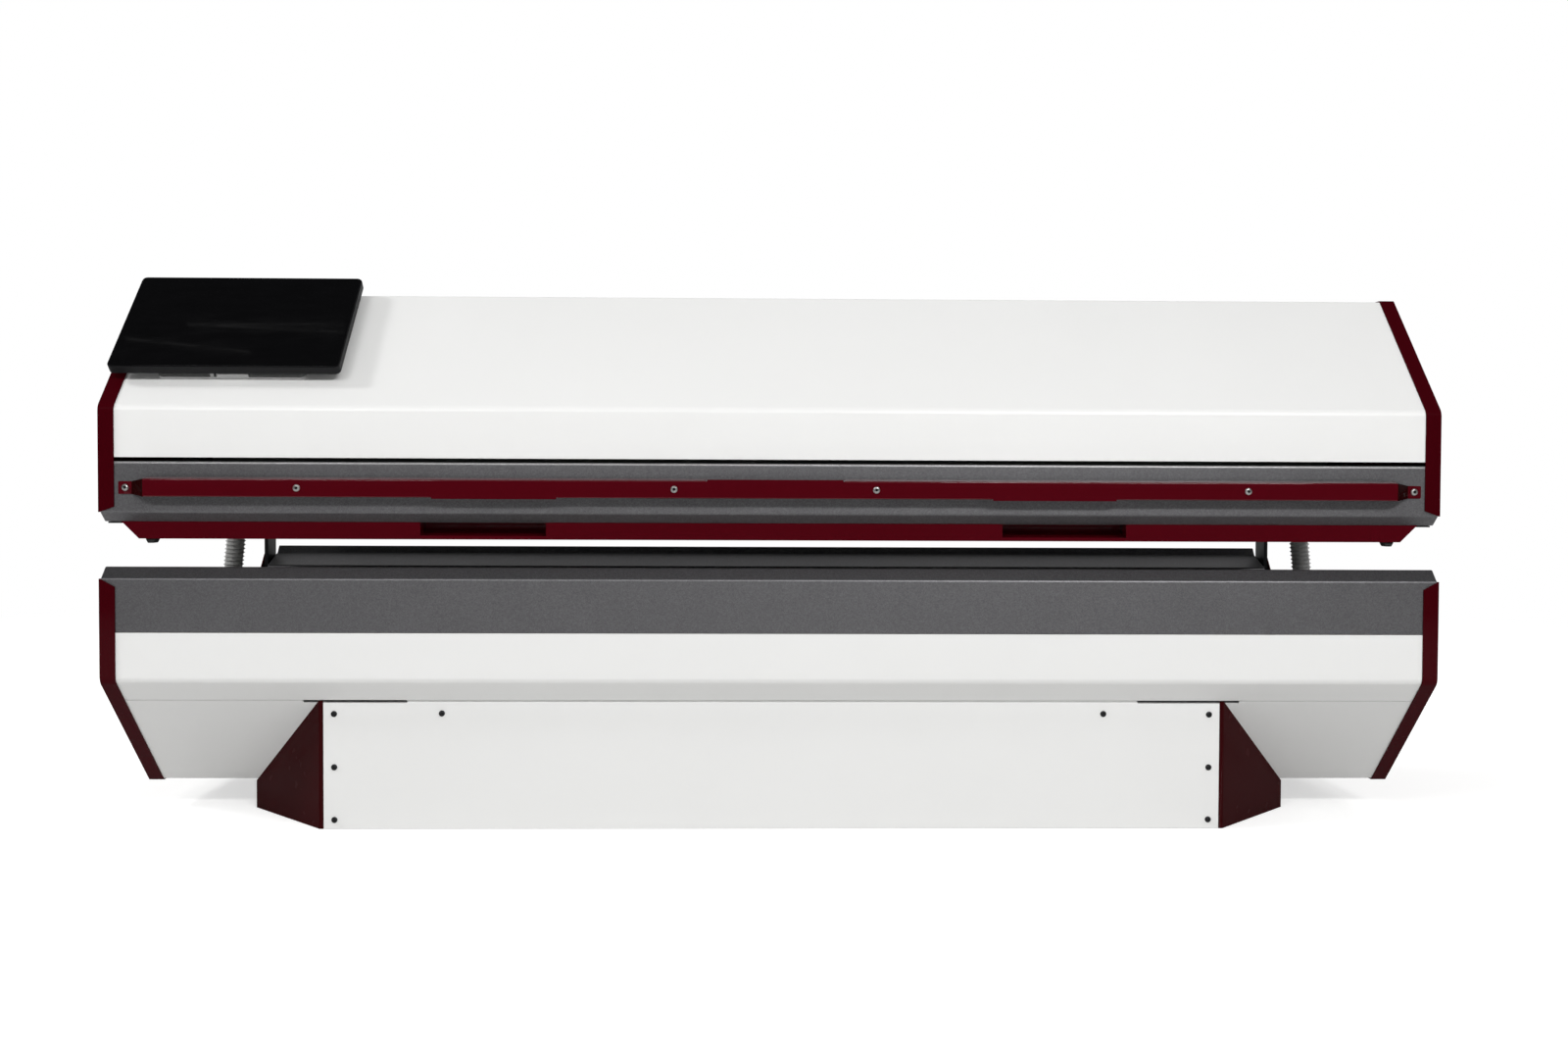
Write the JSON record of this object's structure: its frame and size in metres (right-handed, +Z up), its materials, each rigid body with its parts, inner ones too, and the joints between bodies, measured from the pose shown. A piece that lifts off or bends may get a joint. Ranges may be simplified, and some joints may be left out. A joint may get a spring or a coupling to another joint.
{
  "type": "light therapy bed",
  "caption": "Clamshell red light therapy bed: a rear-hinged canopy over a dished clear lying surface, with octagonal ends, a grab strip, hand pockets, a tilting tablet and a pedestal.",
  "frame": {"origin": "on the floor under the middle of the pedestal, on the underside of its middle cross-member", "axes": "+X along the bed to the right as seen from the front, +Y from the front to the hinged rear, +Z up"},
  "size_m": [2.25, 0.925, 0.9513],
  "materials": {
    "white_paint": "satin white powder coat",
    "red_paint": "satin dark red powder coat",
    "grey_paint": "metallic dark grey paint",
    "black_paint": "satin black paint",
    "black_plastic": "matte black",
    "red_plastic": "satin dark red moulding",
    "clear_acrylic": "clear polished",
    "led_board": "white solder mask with small light emitters",
    "tray_metal": "plain sheet",
    "frame_metal": "black coated bars",
    "pin_steel": "turned",
    "conduit_plastic": "grey ribbed, slightly shiny",
    "rubber": "matte",
    "screen_glass": "glossy black",
    "bracket_plastic": "light grey"
  },
  "bodies": {
    "base": {"pedestal_frame": "frame_metal", "pedestal_front_panel": "white_paint", "pedestal_rear_panel": "white_paint", "pedestal_side_left": "red_paint", "pedestal_side_right": "red_paint", "base_lower_pan": "white_paint", "base_front_panel": "white_paint", "base_rear_panel": "white_paint", "base_front_rim": "grey_paint", "base_rear_rim": "grey_paint", "base_end_left": "red_paint", "base_end_right": "red_paint", "base_deck_left": "black_paint", "base_deck_right": "black_paint", "base_gland_left": "black_plastic", "base_gland_right": "black_plastic", "base_led_tray": "tray_metal", "base_led_front": "led_board", "base_led_centre": "led_board", "base_led_rear": "led_board", "acrylic_bed": "clear_acrylic", "driver_box_left": "tray_metal", "driver_box_right": "tray_metal", "control_box": "black_plastic", "hinge_plate_left": "black_paint", "hinge_plate_right": "black_paint", "hinge_pin_left": "pin_steel", "hinge_pin_right": "pin_steel", "conduit_left": "conduit_plastic", "conduit_right": "conduit_plastic", "power_inlet": "black_plastic"},
    "canopy": {"canopy_shell": "white_paint", "canopy_front_rim": "grey_paint", "canopy_rear_rim": "grey_paint", "canopy_end_left": "red_paint", "canopy_end_right": "red_paint", "canopy_deck_left": "black_paint", "canopy_deck_right": "black_paint", "canopy_gland_left": "black_plastic", "canopy_gland_right": "black_plastic", "canopy_led_tray": "tray_metal", "canopy_led_front": "led_board", "canopy_led_centre": "led_board", "canopy_led_rear": "led_board", "canopy_cover": "clear_acrylic", "hinge_arm_left": "black_paint", "hinge_arm_right": "black_paint", "grab_strip": "red_paint", "handle_rail": "red_plastic", "bumper_left": "rubber", "bumper_right": "rubber", "fan_frame_left": "black_plastic", "fan_frame_right": "black_plastic", "tablet_mount": "bracket_plastic"},
    "tablet": {"tablet_body": "black_plastic", "tablet_glass": "screen_glass"},
    "fan_left": {"fan_rotor_left": "black_plastic"},
    "fan_right": {"fan_rotor_right": "black_plastic"},
    "switch": {"rocker_switch": "black_plastic"}
  },
  "joints": [
    {"name": "canopy_hinge", "type": "hinge", "parent": "base", "child": "canopy", "pos_m": [0, 0.43, 0.4835], "axis": [-1, 0, 0], "range_deg": [0, 45], "deforming": ["conduit_left", "conduit_right"]},
    {"name": "tablet_tilt", "type": "hinge", "parent": "canopy", "child": "tablet", "pos_m": [-0.9255, -0.40108, 0.77927], "axis": [1, 0, 0], "range_deg": [0, 30]},
    {"name": "fan_left_spin", "type": "hinge", "parent": "canopy", "child": "fan_left", "pos_m": [-0.5, 0.08, 0.9075], "axis": [0, 0, 1], "continuous": true},
    {"name": "fan_right_spin", "type": "hinge", "parent": "canopy", "child": "fan_right", "pos_m": [0.5, 0.08, 0.9075], "axis": [0, 0, 1], "continuous": true},
    {"name": "switch_rock", "type": "hinge", "parent": "base", "child": "switch", "pos_m": [0.6505, 0.441, 0.298], "axis": [1, 0, 0], "range_deg": [-8, 8]}
  ]
}
